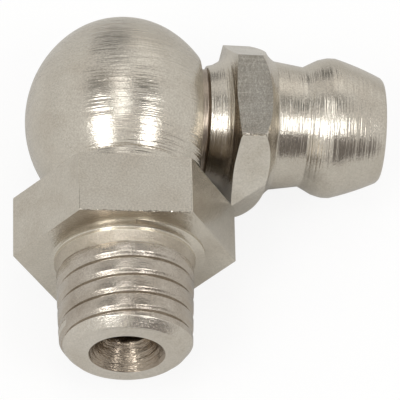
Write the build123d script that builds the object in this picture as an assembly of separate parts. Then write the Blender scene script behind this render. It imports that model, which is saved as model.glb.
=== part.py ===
from build123d import *
import math
import os

# Right-angle grease nipple. All sizes in millimetres.
#
# The pieces are modelled upright: the shank's axis is Z, the seat is at Z = 0, the nozzle points
# along +X. At the end each piece is laid on its side, as it lies on a bench: the shank then points
# along -Y, the nozzle along +X and one flat of the hexagon faces down.

# Elbow body: hexagon and seat
HEX_AF = 9.0
HEX_BOTTOM = 0.10
HEX_TOP = 3.05
HEX_CHAMFER_R = 4.55
HEX_CHAMFER_RISE = 0.07
BOSS_R = 3.72

# Elbow body: shank, with the thread as its crest envelope, 1/4 in - 28, taper 1:16
SHANK_LENGTH = 4.90
SHANK_NECK_R = 3.06
SHANK_NECK_LENGTH = 0.60
SEAT_RELIEF = 0.14
THREAD_MAJOR = 6.35
THREAD_GAUGE_DEPTH = 1.37
THREAD_TAPER = 1 / 16
THREAD_LEAD_IN = 0.25
END_ROUND = 0.75
END_FACE_R = 2.62

# Elbow body: neck and ball, a solid of revolution slightly taller than it is wide
BALL_NECK_R = 3.10
BALL_R = 4.60
BALL_HALF_HEIGHT = 5.10
BALL_CROWN_R = 4.25
BALL_Z = 7.42

# Elbow body: passages
OUTLET_R = 1.71
OUTLET_INNER_R = 1.55
OUTLET_DEPTH = 1.90
PASSAGE_R = 1.00
DRILL_POINT = 118.0

# Nozzle, measured along its own axis from the shank's axis
NOZZLE_Z = 7.65
SPOT_FACE_X = 3.65
SPOT_FACE_R = 3.60
SPIGOT_R = 2.00
SPIGOT_START = 2.10
CROSS_BORE_START = 1.95
SHOULDER_R = 2.72
SHOULDER_END = 4.05
COLLAR_ROOT_R = 2.62
COLLAR_ROOT_MIDDLE_X = 4.40
COLLAR_ROOT_MIDDLE_R = 2.90
COLLAR_FOOT_X = 4.62
COLLAR_FOOT_R = 3.22
COLLAR_STEP_X = 4.86
COLLAR_STEP_R = 3.62
RIDGE_START = 5.24
RIDGE_END = 5.45
RIDGE_R = 4.40
COLLAR_BACK_X = 6.05
COLLAR_BACK_R = 4.02
COLLAR_FALL_X = 6.50
COLLAR_FALL_R = 3.54
COLLAR_FALL_SLOPE = -45.0
COLLAR_END = 7.03
COLLAR_TOE_X = 7.22
COLLAR_TOE_R = 2.94
NECK_START_R = 3.03
NECK_END = 8.42
NECK_END_R = 2.82
HEAD_FLANK_X = 9.10
HEAD_FLANK_R = 3.18
HEAD_LAND_START = 9.55
HEAD_LAND_END = 9.92
HEAD_R = 3.30
HEAD_CONE_BULGE_R = 2.93
TIP_X = 12.20
TIP_R = 2.50
TIP_EDGE = 0.12

# Nozzle: the collar leans a little towards the head on the side given by the clock angle
COLLAR_CANT = 2.3
COLLAR_CANT_CLOCK = 120.0
COLLAR_MIDDLE_X = 5.60

# Nozzle: flats on the collar, each as the angle of its normal and its distance from the axis.
# The angle runs from the front (-Y) towards the shank. The last flat is cut askew and shallow.
COLLAR_AF = 7.0
COLLAR_CLOCK = 7.5
COLLAR_SKEW_ANGLE = 110.0
COLLAR_SKEW_DISTANCE = 3.94
COLLAR_FLATS = [(COLLAR_CLOCK + 60 * k, COLLAR_AF / 2) for k in (-1, 0, 1, 3, 4)]
COLLAR_FLATS.append((COLLAR_SKEW_ANGLE, COLLAR_SKEW_DISTANCE))

# Nozzle: valve chamber, seat and mouth
CHAMBER_R = 1.50
LIP_R = 1.10
LIP_THICKNESS = 0.35
MOUTH_R = 0.90
MOUTH_LENGTH = 0.50
MOUTH_CHAMFER = 0.15
SEAT_HALF_ANGLE = 30.0

# Check ball and spring. The spring's round wire is drawn with eight sides and twelve straight
# lengths to a turn.
CHECK_BALL_R = 1.25
SEAT_CLEARANCE = 0.01
SPRING_MEAN_R = 1.08
SPRING_WIRE_R = 0.11
SPRING_TURNS = 5
SPRING_STEPS = 12
SPRING_WIRE_SIDES = 8
SPRING_CLEARANCE = 0.02

# Worked out from the sizes above
SEAT_START = TIP_X - MOUTH_LENGTH - (CHAMBER_R - MOUTH_R) / math.tan(math.radians(SEAT_HALF_ANGLE))
SEAT_APEX = TIP_X - MOUTH_LENGTH + MOUTH_R / math.tan(math.radians(SEAT_HALF_ANGLE))
CHECK_BALL_X = SEAT_APEX - (CHECK_BALL_R + SEAT_CLEARANCE) / math.sin(math.radians(SEAT_HALF_ANGLE))
SPRING_START = SPIGOT_START + LIP_THICKNESS + SPRING_CLEARANCE
SPRING_END = CHECK_BALL_X - math.sqrt(CHECK_BALL_R**2 - (SPRING_MEAN_R - SPRING_WIRE_R) ** 2)

NOZZLE_AXIS = Location((0, 0, NOZZLE_Z))
LAID_DOWN = Rotation(-90, 0, 0)


def crest_radius(z):
    """Radius of the tapered thread's crests at height z."""
    return THREAD_MAJOR / 2 + (z + THREAD_GAUGE_DEPTH) * THREAD_TAPER / 2


def turned(outline, axis):
    """Solid of revolution of a closed outline drawn beside its axis."""
    return revolve(make_face(outline), axis)


def drilled(radius, start, end):
    """Drill along +X from start to end, with the drill's point beyond the end."""
    point = radius / math.tan(math.radians(DRILL_POINT / 2))
    outline = Polyline((start, 0), (start, radius), (end, radius), (end + point, 0), close=True)
    return turned(outline, Axis.X)


def body_hexagon():
    """Hexagon with its corners turned back a little at both ends."""
    prism = extrude(RegularPolygon(HEX_AF / 2, 6, major_radius=False), HEX_TOP - HEX_BOTTOM)
    corner_r = HEX_AF / math.sqrt(3)
    outline = Polyline(
        (0, HEX_BOTTOM),
        (HEX_CHAMFER_R, HEX_BOTTOM),
        (corner_r, HEX_BOTTOM + HEX_CHAMFER_RISE),
        (corner_r, HEX_TOP - HEX_CHAMFER_RISE),
        (HEX_CHAMFER_R, HEX_TOP),
        (0, HEX_TOP),
        close=True,
    )
    envelope = turned(Plane.XZ * outline, Axis.Z)
    return Pos(0, 0, HEX_BOTTOM) * prism & envelope


def body_shank():
    """Seat boss, plain neck and tapered shank with a rounded end, down from the seat."""
    thread_start = -SHANK_NECK_LENGTH - THREAD_LEAD_IN
    end_round_z = -SHANK_LENGTH + END_ROUND
    relief_top = (SHANK_NECK_R + SEAT_RELIEF, 0)
    relief_end = (SHANK_NECK_R, -SEAT_RELIEF)
    outline = [
        Line((0, HEX_BOTTOM), (BOSS_R, HEX_BOTTOM)),
        Line((BOSS_R, HEX_BOTTOM), (BOSS_R, 0)),
        Line((BOSS_R, 0), relief_top),
        Line(relief_top, relief_end),
        Line(relief_end, (SHANK_NECK_R, -SHANK_NECK_LENGTH)),
        Line((SHANK_NECK_R, -SHANK_NECK_LENGTH), (crest_radius(thread_start), thread_start)),
        Line((crest_radius(thread_start), thread_start), (crest_radius(end_round_z), end_round_z)),
        TangentArc((crest_radius(end_round_z), end_round_z), (END_FACE_R, -SHANK_LENGTH), tangent=(0, -1)),
        Line((END_FACE_R, -SHANK_LENGTH), (0, -SHANK_LENGTH)),
        Line((0, -SHANK_LENGTH), (0, HEX_BOTTOM)),
    ]
    return turned(Plane.XZ * Curve(outline), Axis.Z)


def body_ball():
    """Neck and ball above the hexagon; the ball's crown and side are two tangent arcs."""
    crown_z = BALL_HALF_HEIGHT - BALL_CROWN_R
    width_gain = BALL_R - BALL_CROWN_R
    side_offset = (crown_z**2 - width_gain**2) / (2 * width_gain)
    side_r = BALL_R + side_offset
    neck_angle = math.degrees(math.acos((BALL_NECK_R + side_offset) / side_r))
    crown_angle = math.degrees(math.atan2(crown_z, side_offset))
    side = CenterArc((-side_offset, BALL_Z), side_r, -neck_angle, neck_angle + crown_angle)
    crown = CenterArc((0, BALL_Z + crown_z), BALL_CROWN_R, crown_angle, 90 - crown_angle)
    outline = [
        Line((0, HEX_TOP), (BALL_NECK_R, HEX_TOP)),
        Line((BALL_NECK_R, HEX_TOP), side @ 0),
        side,
        crown,
        Line(crown @ 1, (0, HEX_TOP)),
    ]
    return turned(Plane.XZ * Curve(outline), Axis.Z)


def body_passages():
    """Outlet counterbore, upright passage, and the cross bore that takes the nozzle."""
    point = (OUTLET_INNER_R - PASSAGE_R) / math.tan(math.radians(DRILL_POINT / 2))
    top_point = PASSAGE_R / math.tan(math.radians(DRILL_POINT / 2))
    outlet_top = -SHANK_LENGTH + OUTLET_DEPTH
    outline = Polyline(
        (0, -SHANK_LENGTH),
        (OUTLET_R, -SHANK_LENGTH),
        (OUTLET_INNER_R, outlet_top),
        (PASSAGE_R, outlet_top + point),
        (PASSAGE_R, NOZZLE_Z),
        (0, NOZZLE_Z + top_point),
        close=True,
    )
    upright = turned(Plane.XZ * outline, Axis.Z)
    cross = drilled(PASSAGE_R, 0, CROSS_BORE_START)
    cross += Rotation(0, 0, 180) * drilled(SPIGOT_R, -BALL_R, -CROSS_BORE_START)
    spot_face = Pos(SPOT_FACE_X, 0, 0) * Rotation(0, 90, 0) * extrude(Circle(SPOT_FACE_R), BALL_R)
    return upright + NOZZLE_AXIS * (cross + spot_face)


def make_elbow_body():
    """The turned, drilled elbow."""
    return body_shank() + body_hexagon() + body_ball() - body_passages()


def nozzle_core():
    """Spigot, shoulder, neck and coupler head."""
    neck_end = (NECK_END, NECK_END_R)
    outline = [
        Line((SPIGOT_START, 0), (SPIGOT_START, SPIGOT_R)),
        Line((SPIGOT_START, SPIGOT_R), (SPOT_FACE_X, SPIGOT_R)),
        Line((SPOT_FACE_X, SPIGOT_R), (SPOT_FACE_X, SHOULDER_R)),
        Line((SPOT_FACE_X, SHOULDER_R), (SHOULDER_END, SHOULDER_R)),
        Line((SHOULDER_END, SHOULDER_R), (COLLAR_END, NECK_START_R)),
        Line((COLLAR_END, NECK_START_R), neck_end),
        Line(neck_end, (HEAD_FLANK_X, HEAD_FLANK_R)),
        TangentArc((HEAD_LAND_START, HEAD_R), (HEAD_FLANK_X, HEAD_FLANK_R), tangent=(-1, 0)),
        Line((HEAD_LAND_START, HEAD_R), (HEAD_LAND_END, HEAD_R)),
        ThreePointArc(
            (HEAD_LAND_END, HEAD_R),
            ((HEAD_LAND_END + TIP_X) / 2, HEAD_CONE_BULGE_R),
            (TIP_X - TIP_EDGE, TIP_R),
        ),
        Line((TIP_X - TIP_EDGE, TIP_R), (TIP_X, TIP_R - TIP_EDGE)),
        Line((TIP_X, TIP_R - TIP_EDGE), (TIP_X, 0)),
        Line((TIP_X, 0), (SPIGOT_START, 0)),
    ]
    return turned(Curve(outline), Axis.X)


def nozzle_collar():
    """Collar before its flats are cut, leaning by its cant."""
    foot = (COLLAR_FOOT_X, COLLAR_FOOT_R)
    step = (COLLAR_STEP_X, COLLAR_STEP_R)
    fall = (COLLAR_FALL_X, COLLAR_FALL_R)
    fall_direction = Vector(1, 0).rotate(Axis.Z, COLLAR_FALL_SLOPE)
    outline = [
        Line((SHOULDER_END, 0), (SHOULDER_END, COLLAR_ROOT_R)),
        ThreePointArc((SHOULDER_END, COLLAR_ROOT_R), (COLLAR_ROOT_MIDDLE_X, COLLAR_ROOT_MIDDLE_R), foot),
        Line(foot, step),
        Line(step, (RIDGE_START, RIDGE_R)),
        Line((RIDGE_START, RIDGE_R), (RIDGE_END, RIDGE_R)),
        ThreePointArc((RIDGE_END, RIDGE_R), (COLLAR_BACK_X, COLLAR_BACK_R), fall),
        TangentArc(fall, (COLLAR_TOE_X, COLLAR_TOE_R), tangent=fall_direction),
        Line((COLLAR_TOE_X, COLLAR_TOE_R), (COLLAR_TOE_X, 0)),
        Line((COLLAR_TOE_X, 0), (SHOULDER_END, 0)),
    ]
    lean = math.radians(COLLAR_CANT_CLOCK - 90)
    pivot = Axis((COLLAR_MIDDLE_X, 0, 0), (0, -math.cos(lean), -math.sin(lean)))
    return turned(Curve(outline), Axis.X).rotate(pivot, COLLAR_CANT)


def collar_flat(angle, distance):
    """Material outside one flat of the collar."""
    length = COLLAR_TOE_X - SHOULDER_END
    block = Pos(SHOULDER_END + length / 2, -distance - RIDGE_R / 2, 0) * Box(length, RIDGE_R, 2 * RIDGE_R)
    return Rotation(angle, 0, 0) * block


def nozzle_inside():
    """Lip opening, spring chamber, valve seat and mouth."""
    outline = Polyline(
        (SPIGOT_START, 0),
        (SPIGOT_START, LIP_R),
        (SPIGOT_START + LIP_THICKNESS, LIP_R),
        (SPIGOT_START + LIP_THICKNESS, CHAMBER_R),
        (SEAT_START, CHAMBER_R),
        (TIP_X - MOUTH_LENGTH, MOUTH_R),
        (TIP_X - MOUTH_CHAMFER, MOUTH_R),
        (TIP_X, MOUTH_R + MOUTH_CHAMFER),
        (TIP_X, 0),
        close=True,
    )
    return turned(outline, Axis.X)


def make_nozzle():
    """The pressed-in nozzle with its flats and its valve chamber."""
    nozzle = nozzle_core() + nozzle_collar()
    for angle, distance in COLLAR_FLATS:
        nozzle -= collar_flat(angle, distance)
    return NOZZLE_AXIS * (nozzle - nozzle_inside())


def make_check_ball():
    """The ball that closes the mouth from inside."""
    return NOZZLE_AXIS * Pos(CHECK_BALL_X, 0, 0) * Sphere(CHECK_BALL_R)


def make_spring():
    """Wire coil between the crimped lip and the check ball, with its ends ground flat."""
    length = SPRING_END - SPRING_START
    steps = SPRING_TURNS * SPRING_STEPS
    start = Vector(SPRING_MEAN_R, 0, 0)
    turn = 360 / SPRING_STEPS
    rise = Vector(0, 0, length / steps)
    path = Polyline([start.rotate(Axis.Z, i * turn) + rise * i for i in range(steps + 1)])
    section = Plane(origin=path @ 0, z_dir=path % 0) * RegularPolygon(SPRING_WIRE_R, SPRING_WIRE_SIDES)
    coil = sweep(section, path, transition=Transition.RIGHT)
    ground = extrude(Circle(CHAMBER_R), length)
    return NOZZLE_AXIS * Pos(SPRING_START, 0, 0) * Rotation(0, 90, 0) * (coil & ground)


os.makedirs("parts", exist_ok=True)
for name, piece in [
    ("elbow_body", make_elbow_body()),
    ("nozzle", make_nozzle()),
    ("check_ball", make_check_ball()),
    ("spring", make_spring()),
]:
    laid = LAID_DOWN * piece
    export_step(laid, f"parts/{name}.step")
    print(name, "volume", round(laid.volume, 3), "mm3, centre", laid.center(CenterOf.MASS))
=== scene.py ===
"""Visual model of a right-angle grease nipple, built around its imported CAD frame.

The fitting lies on its side. The shank points along -Y from the seat at the origin, the nozzle
along +X. The thread, the torn edges, the spring's coil and every finish are made here.
Sizes are in millimetres and angles in degrees, unless a line says otherwise.
"""

import logging
import math
from contextlib import contextmanager
from dataclasses import dataclass, field
from enum import Enum
from itertools import pairwise
from typing import Callable, Iterator

import bmesh
import bpy
from bpy.types import Material, Node, NodeSocket, NodeTree, Object
from mathutils import Matrix, Vector


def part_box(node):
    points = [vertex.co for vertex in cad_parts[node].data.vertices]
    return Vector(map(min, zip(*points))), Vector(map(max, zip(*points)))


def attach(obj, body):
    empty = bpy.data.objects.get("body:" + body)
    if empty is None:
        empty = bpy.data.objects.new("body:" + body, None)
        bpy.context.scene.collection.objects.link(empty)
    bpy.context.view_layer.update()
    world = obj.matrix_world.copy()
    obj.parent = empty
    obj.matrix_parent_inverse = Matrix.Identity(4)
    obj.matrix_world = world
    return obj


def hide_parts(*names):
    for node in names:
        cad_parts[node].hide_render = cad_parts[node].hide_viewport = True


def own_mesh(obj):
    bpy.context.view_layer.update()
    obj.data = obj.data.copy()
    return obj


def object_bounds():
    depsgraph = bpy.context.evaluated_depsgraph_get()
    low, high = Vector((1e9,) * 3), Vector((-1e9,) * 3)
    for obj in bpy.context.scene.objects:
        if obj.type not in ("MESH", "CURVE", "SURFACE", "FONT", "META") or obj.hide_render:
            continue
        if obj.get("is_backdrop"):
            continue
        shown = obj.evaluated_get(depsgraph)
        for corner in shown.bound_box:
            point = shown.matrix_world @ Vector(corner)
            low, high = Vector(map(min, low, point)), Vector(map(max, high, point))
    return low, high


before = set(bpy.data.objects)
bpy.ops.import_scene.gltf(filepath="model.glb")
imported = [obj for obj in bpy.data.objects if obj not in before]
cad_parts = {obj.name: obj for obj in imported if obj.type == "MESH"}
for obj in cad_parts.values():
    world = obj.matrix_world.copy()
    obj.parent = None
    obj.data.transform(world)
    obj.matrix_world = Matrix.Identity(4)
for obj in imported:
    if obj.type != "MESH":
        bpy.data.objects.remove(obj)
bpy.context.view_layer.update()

MM = 0.001
MERGE_DISTANCE = 0.0002 * MM
SMOOTH_ANGLE = math.radians(32)
DRILL_HALF_ANGLE = math.radians(59)
# A round takes at most this share of either edge beside it.
ROUND_SHARE = 0.48
# Two unit vectors whose product is above this point the same way.
SAME_WAY = 0.9999
WHITE = (1.0, 1.0, 1.0, 1.0)

# (along the axis, radius) in millimetres, or with the radius of a rounding as well.
Corner = tuple[float, ...]

log = logging.getLogger("grease_nipple")


# ---------------------------------------------------------------- bench: modelling by operators


class Joining(Enum):
    """How a tool solid meets the piece it is set against."""

    ADD = "UNION"
    CUT = "DIFFERENCE"
    KEEP = "INTERSECT"


class Turning(Enum):
    """The two axes that pieces of the fitting are turned about."""

    SHANK = "Y"
    NOZZLE = "X"

    @property
    def centre(self) -> Vector:
        """A point on the axis, in metres.

        Returns:
            The origin for the shank, and the check ball's height above it for the nozzle.
        """
        if self is Turning.SHANK:
            return Vector((0, 0, 0))
        low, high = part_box("check_ball")
        return Vector((0, (low.y + high.y) / 2, (low.z + high.z) / 2))

    @property
    def direction(self) -> Vector:
        """Unit vector along the axis."""
        return Vector((0, 1, 0)) if self is Turning.SHANK else Vector((1, 0, 0))

    def place(self, along: float, radius: float) -> Vector:
        """A point of a half section, in metres."""
        side = Vector((1, 0, 0)) if self is Turning.SHANK else Vector((0, 0, 1))
        return self.centre + (self.direction * along + side * radius) * MM


def fixed(*parts: float) -> Vector:
    """A vector that can't change, as a field's default has to be."""
    return Vector(parts).freeze()


def circle_centre(first: Vector, second: Vector, third: Vector) -> Vector:
    """Centre of the circle through three points in the plane.

    Args:
        first: a point on the circle.
        second: another.
        third: another.

    Returns:
        The centre.
    """
    across, along = second - first, third - first
    to_second = Vector((across.y, -across.x)) * along.length_squared
    to_third = Vector((along.y, -along.x)) * across.length_squared
    return first + (to_third - to_second) / (2 * across.cross(along))


@dataclass
class Outline:
    """Half section of a turned piece, as corners (along the axis, radius, rounding)."""

    corners: list[Corner] = field(default_factory=list)
    round_steps: int = 5

    def add(self, *corners: Corner) -> "Outline":
        """Add corners, each (along, radius) or (along, radius, rounding), and return the outline."""
        self.corners.extend((*corner, 0.0)[:3] for corner in corners)
        return self

    def arc(self, centre: Corner, size: float, start: float, end: float, steps: int) -> "Outline":
        """Add points along a circular arc.

        Args:
            centre: the arc's centre, as (along, radius).
            size: the arc's own radius.
            start: first angle, 0 along the axis and 90 straight out from it.
            end: last angle.
            steps: number of chords.

        Returns:
            The outline itself.
        """
        for index in range(steps + 1):
            angle = math.radians(start + (end - start) * index / steps)
            self.add((centre[0] + size * math.cos(angle), centre[1] + size * math.sin(angle)))
        return self

    def through(self, middle: Corner, end: Corner, steps: int = 8) -> "Outline":
        """Add an arc from the last corner through a middle point to an end point.

        Args:
            middle: a point on the arc, as (along, radius).
            end: where the arc ends.
            steps: number of chords.

        Returns:
            The outline itself.
        """
        start = Vector(self.corners[-1][:2])
        middle, end = Vector(middle), Vector(end)
        centre = circle_centre(start, middle, end)
        sweep = (start - centre).angle_signed(middle - centre)
        sweep += (middle - centre).angle_signed(end - centre)
        for index in range(1, steps + 1):
            self.add(tuple(centre + Matrix.Rotation(-sweep * index / steps, 2) @ (start - centre)))
        return self

    def points(self) -> list[Vector]:
        """The outline with its corners rounded.

        Returns:
            Its points in order, as 2-D vectors.
        """
        result = []
        for index, (along, radius, rounding) in enumerate(self.corners):
            here = Vector((along, radius))
            if rounding <= 0 or index in (0, len(self.corners) - 1):
                result.append(here)
                continue
            back = Vector(self.corners[index - 1][:2]) - here
            ahead = Vector(self.corners[index + 1][:2]) - here
            result.extend(self._round(here, back, ahead, rounding))
        return result

    def _round(self, here: Vector, back: Vector, ahead: Vector, rounding: float) -> list[Vector]:
        """Points of the round between two edges that meet at a corner.

        Args:
            here: the corner.
            back: from the corner to the one before it.
            ahead: from the corner to the one after it.
            rounding: radius of the round.

        Returns:
            The round's points in order.
        """
        half = back.angle(ahead) / 2
        reach = min(rounding / math.tan(half), ROUND_SHARE * back.length, ROUND_SHARE * ahead.length)
        start = here + back.normalized() * reach
        end = here + ahead.normalized() * reach
        size = reach * math.tan(half)
        centre = here + (back.normalized() + ahead.normalized()).normalized() * (size / math.sin(half))
        turn = (start - centre).angle_signed(end - centre)
        steps = self.round_steps
        return [centre + Matrix.Rotation(-turn * k / steps, 2) @ (start - centre) for k in range(steps + 1)]


def make_active(piece: Object) -> None:
    """Select one object alone and make it the active one.

    Args:
        piece: the object.
    """
    bpy.ops.object.select_all(action="DESELECT")
    piece.select_set(True)
    bpy.context.view_layer.objects.active = piece


@contextmanager
def editing(piece: Object, by: str = "VERT") -> Iterator[None]:
    """Edit mode on one piece, with everything selected.

    Args:
        piece: the mesh object.
        by: selection mode, VERT, EDGE or FACE.
    """
    make_active(piece)
    bpy.ops.object.mode_set(mode="EDIT")
    bpy.ops.mesh.select_mode(type=by)
    bpy.ops.mesh.select_all(action="SELECT")
    yield
    bpy.ops.object.mode_set(mode="OBJECT")


def select_vertices(piece: Object, test: Callable[[Vector], bool]) -> None:
    """Select some vertices of the piece in edit mode.

    Args:
        piece: the mesh object.
        test: says whether the vertex at a place, in millimetres, is selected.
    """
    mesh = bmesh.from_edit_mesh(piece.data)
    for vertex in mesh.verts:
        vertex.select_set(test(vertex.co / MM))
    mesh.select_flush_mode()
    bmesh.update_edit_mesh(piece.data)


def select_edges(piece: Object, test: Callable[[Vector, Vector], bool]) -> None:
    """Select some edges of the piece in edit mode.

    Args:
        piece: the mesh object.
        test: says whether the edge between two places, in millimetres, is selected.
    """
    mesh = bmesh.from_edit_mesh(piece.data)
    for edge in mesh.edges:
        edge.select_set(test(edge.verts[0].co / MM, edge.verts[1].co / MM))
    bmesh.update_edit_mesh(piece.data)


def finish_shell(piece: Object) -> None:
    """Merge doubled points and turn every face outwards.

    Args:
        piece: the mesh object.
    """
    with editing(piece):
        bpy.ops.mesh.remove_doubles(threshold=MERGE_DISTANCE)
        bpy.ops.mesh.normals_make_consistent(inside=False)


def draw_chain(name: str, points: list[Vector]) -> Object:
    """Open chain of edges, drawn by extruding one vertex from point to point.

    Args:
        name: the new object's name.
        points: places in metres.

    Returns:
        The new object, at the origin.
    """
    bpy.ops.mesh.primitive_plane_add(size=MM, location=(0, 0, 0))
    piece = bpy.context.object
    piece.name = name
    with editing(piece):
        bpy.ops.mesh.merge(type="CENTER")
        bpy.ops.transform.translate(value=points[0])
        for start, end in pairwise(points):
            bpy.ops.mesh.extrude_vertices_move(TRANSFORM_OT_translate={"value": end - start})
    return piece


def turn(name: str, outline: Outline, axis: Turning, steps: int, *finishes: Material) -> Object:
    """Solid of revolution of an outline whose two ends lie on the axis.

    Args:
        name: the new object's name.
        outline: the half section.
        axis: the axis it turns about.
        steps: number of segments round the axis.
        finishes: its materials, of which the first covers it.

    Returns:
        The new object, at the origin.
    """
    piece = draw_chain(name, [axis.place(*point) for point in outline.points()])
    with editing(piece):
        bpy.ops.mesh.spin(steps=steps, angle=math.tau, center=axis.centre, axis=axis.direction)
    finish_shell(piece)
    for finish in finishes:
        piece.data.materials.append(finish)
    return piece


def apply_modifier(piece: Object, kind: str, **settings: object) -> None:
    """Add a modifier, set it and apply it at once.

    Args:
        piece: the mesh object.
        kind: the modifier's type.
        settings: its properties.
    """
    make_active(piece)
    modifier = piece.modifiers.new(kind.lower(), kind)
    for key, value in settings.items():
        setattr(modifier, key, value)
    bpy.ops.object.modifier_apply(modifier=modifier.name)


def combine(piece: Object, tool: Object, how: Joining) -> None:
    """Join, cut or keep by a tool solid. Cut faces take the tool's finish.

    Args:
        piece: the object that stays.
        tool: the solid set against it, which is used up.
        how: what the tool does.
    """
    settings = {"solver": "EXACT", "material_mode": "TRANSFER"}
    apply_modifier(piece, "BOOLEAN", object=tool, operation=how.value, **settings)
    bpy.data.objects.remove(tool)
    with editing(piece):
        bpy.ops.mesh.remove_doubles(threshold=MERGE_DISTANCE)


def shade(piece: Object) -> None:
    """Smooth the rounds and keep the flats flat: the larger of two faces sets the normal they share.

    Args:
        piece: the mesh object.
    """
    make_active(piece)
    bpy.ops.object.shade_smooth_by_angle(angle=SMOOTH_ANGLE)
    apply_modifier(piece, "WEIGHTED_NORMAL", mode="FACE_AREA", keep_sharp=True)


def slice_off(piece: Object, point: Vector, normal: Vector) -> None:
    """Cut a closed solid with a plane and close the cut.

    Args:
        piece: the mesh object.
        point: a point of the plane, in metres.
        normal: the side of the plane that is taken away.
    """
    near = MERGE_DISTANCE / 10
    with editing(piece):
        bpy.ops.mesh.bisect(plane_co=point, plane_no=normal, use_fill=True, clear_outer=True, threshold=near)


def cylinder(name: str, sides: int, radius: float, low: Vector, high: Vector) -> Object:
    """Closed prism between two points.

    Args:
        name: the new object's name.
        sides: number of its sides.
        radius: distance of its corners from its axis.
        low: middle of one end.
        high: middle of the other end.

    Returns:
        The new object, at the origin.
    """
    along = high - low
    bpy.ops.mesh.primitive_cylinder_add(
        vertices=sides,
        radius=radius * MM,
        depth=along.length * MM,
        location=(low + high) * MM / 2,
        rotation=along.to_track_quat("Z", "Y").to_euler(),
    )
    piece = bpy.context.object
    piece.name = name
    bpy.ops.object.transform_apply(location=True, rotation=True, scale=True)
    return piece


# ---------------------------------------------------------------- finishes


def linear(hex_colour: str) -> tuple[float, float, float, float]:
    """Linear RGBA of an sRGB hex colour such as d4cdc0."""
    parts = [int(hex_colour[i : i + 2], 16) / 255 for i in (0, 2, 4)]
    return (*[c / 12.92 if c <= 0.04045 else ((c + 0.055) / 1.055) ** 2.4 for c in parts], 1.0)


def add_node(tree: NodeTree, kind: str, links: dict | None = None, **settings: object) -> Node:
    """Add one node, set it and link it.

    Args:
        tree: the node tree it goes into.
        kind: the node's type name, without the ShaderNode prefix.
        links: input name or index to either a value or an output socket.
        settings: properties of the node itself.

    Returns:
        The new node.
    """
    node = tree.nodes.new("ShaderNode" + kind)
    for key, value in settings.items():
        setattr(node, key, value)
    for key, value in (links or {}).items():
        if isinstance(value, NodeSocket):
            tree.links.new(value, node.inputs[key])
        else:
            node.inputs[key].default_value = value
    return node


def new_material(name: str) -> tuple[Material, NodeTree, Node]:
    """An empty node material with its Principled shader in place.

    Args:
        name: the material's name.

    Returns:
        The material, its nodes and its shader.
    """
    material = bpy.data.materials.new(name)
    material.use_nodes = True
    tree = material.node_tree
    tree.nodes.clear()
    shader = add_node(tree, "BsdfPrincipled")
    add_node(tree, "OutputMaterial", {"Surface": shader.outputs["BSDF"]})
    return material, tree, shader


@dataclass(frozen=True)
class Nickel:
    """Bright nickel plate on steel, over the marks that the tool left in the metal.

    It gives the eye a warm grey mirror, dulled by faint stains, a speckle and the grain of the
    plating bath. Speckle and grain are drawn several times coarser than real, so that they show.
    """

    name: str
    colour: str = "d3cdc2"
    stain: str = "b3a797"
    stain_share: float = 0.35
    stain_size: float = 2.2
    speckle: float = 0.09
    roughness: float = 0.20
    grain: float = 0.12
    grain_roughness: float = 0.6
    grain_depth: float = 0.008

    def make(self) -> Material:
        """Build the material.

        Returns:
            The new material.
        """
        material, tree, shader = new_material(self.name)
        place = add_node(tree, "TexCoord").outputs["Object"]
        scale = 1 / (self.grain * MM)
        detail = {"Detail": 3.0, "Roughness": self.grain_roughness}
        grain = add_node(tree, "TexNoise", {"Vector": place, "Scale": scale, **detail})
        plated = add_node(
            tree,
            "Bump",
            {
                "Height": grain.outputs["Fac"],
                "Distance": self.grain_depth * MM,
                "Strength": 1.0,
                "Normal": self.marks(tree, place),
            },
        )
        tree.links.new(self.tint(tree, place), shader.inputs["Base Color"])
        tree.links.new(plated.outputs["Normal"], shader.inputs["Normal"])
        shader.inputs["Roughness"].default_value = self.roughness
        shader.inputs["Metallic"].default_value = 1.0
        return material

    def marks(self, tree: NodeTree, place: NodeSocket) -> NodeSocket:
        """Bumped normal of the tool's marks, which each way of machining draws."""
        raise NotImplementedError

    def tint(self, tree: NodeTree, place: NodeSocket) -> NodeSocket:
        """Colour of the plate: large faint stains, and the speckle.

        Args:
            tree: the material's nodes.
            place: object coordinates.

        Returns:
            The colour.
        """
        scale = 1 / (self.stain_size * MM)
        cloud = add_node(tree, "TexNoise", {"Vector": place, "Scale": scale, "Detail": 4.0, "Roughness": 0.6})
        deep = {"From Min": 0.42, "From Max": 0.70, "To Max": self.stain_share}
        amount = add_node(tree, "MapRange", {"Value": cloud.outputs["Fac"], **deep}).outputs["Result"]
        ends = {"A": linear(self.colour), "B": linear(self.stain)}
        stained = add_node(tree, "Mix", {"Factor": amount, **ends}, data_type="RGBA").outputs["Result"]
        scale = 1 / (self.speckle * MM)
        dots = add_node(tree, "TexNoise", {"Vector": place, "Scale": scale, "Detail": 2.0, "Roughness": 0.7})
        light = {"From Min": 0.3, "From Max": 0.7, "To Min": 0.86, "To Max": 1.10}
        tone = add_node(tree, "MapRange", {"Value": dots.outputs["Fac"], **light}).outputs["Result"]
        both = {"Factor": 1.0, "A": stained, "B": tone}
        return add_node(tree, "Mix", both, data_type="RGBA", blend_type="MULTIPLY").outputs["Result"]


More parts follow.
